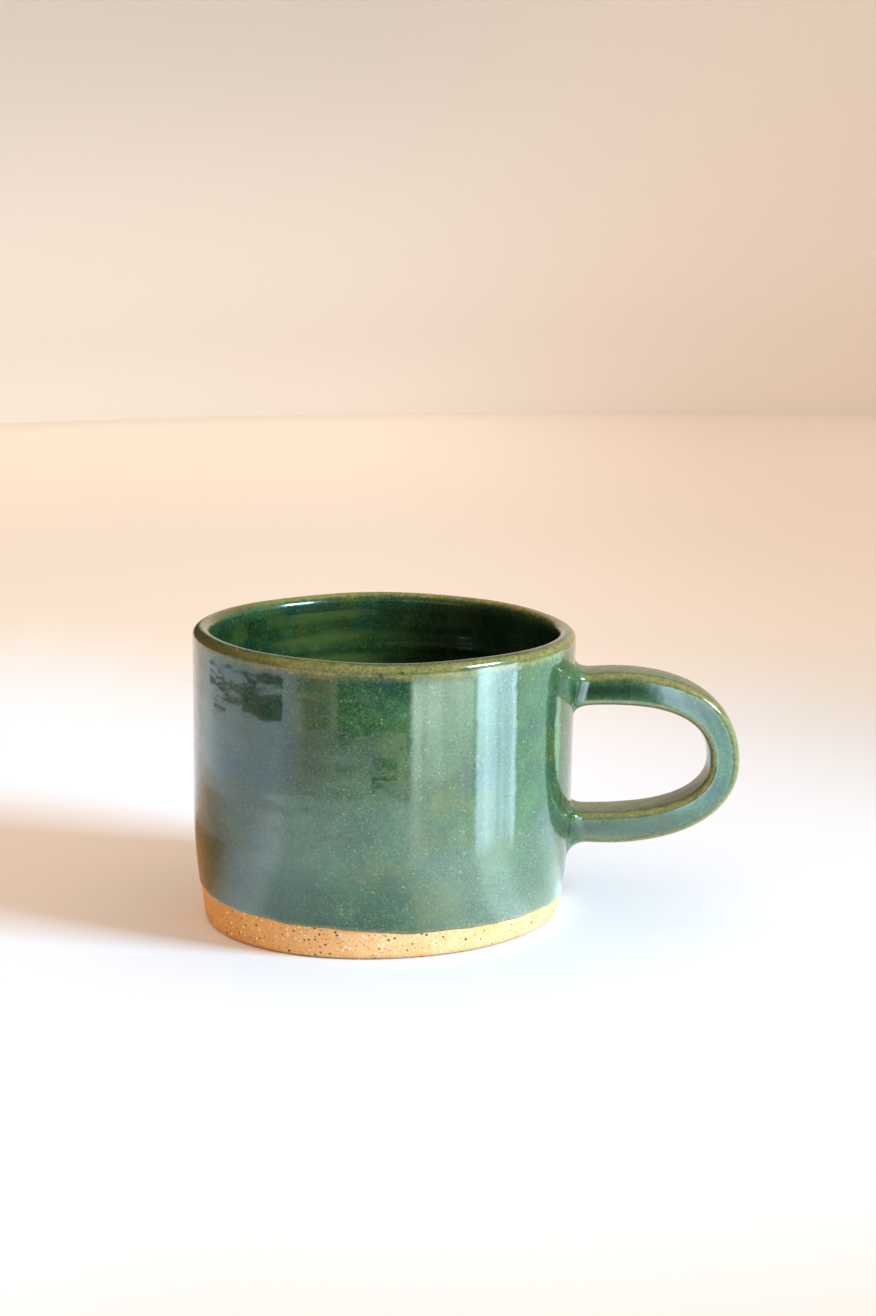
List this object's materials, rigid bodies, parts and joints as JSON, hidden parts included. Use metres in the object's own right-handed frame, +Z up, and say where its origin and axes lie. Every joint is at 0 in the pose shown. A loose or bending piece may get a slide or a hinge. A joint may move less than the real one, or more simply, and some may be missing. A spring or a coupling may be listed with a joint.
{
  "type": "ceramic mug",
  "caption": "Squat hand-thrown stoneware mug with a D-shaped strap handle, glossy green glaze and a bare clay foot band.",
  "frame": {"origin": "middle of the mug's flat underside, on the surface it stands on", "axes": "+Z up; +X from the cup towards the handle; +Y across the handle's width"},
  "size_m": [0.1373, 0.096, 0.075],
  "materials": {
    "bare_clay": "bare fired stoneware, orange tan with dark iron specks and pale grog, dry and matte",
    "handle_clay": "the same stoneware under the handle's glaze",
    "joint_clay": "stoneware slip and soft clay smoothed round the handle's roots",
    "green_glaze": "glossy speckled green glaze, olive where it runs thin",
    "lip_glaze": "glossy glaze, thin and olive gold over the lip",
    "liner_glaze": "glossy deep green liner with faint throwing rings",
    "handle_glaze": "glossy green glaze, breaking to gold along the strap's edges"
  },
  "bodies": {
    "root": {"clay_body": "bare_clay", "handle_strap": "handle_clay", "upper_joint": "joint_clay", "lower_joint": "joint_clay", "outer_glaze": "green_glaze", "lip_glaze": "lip_glaze", "liner_glaze": "liner_glaze", "handle_glaze": "handle_glaze"}
  },
  "joints": []
}
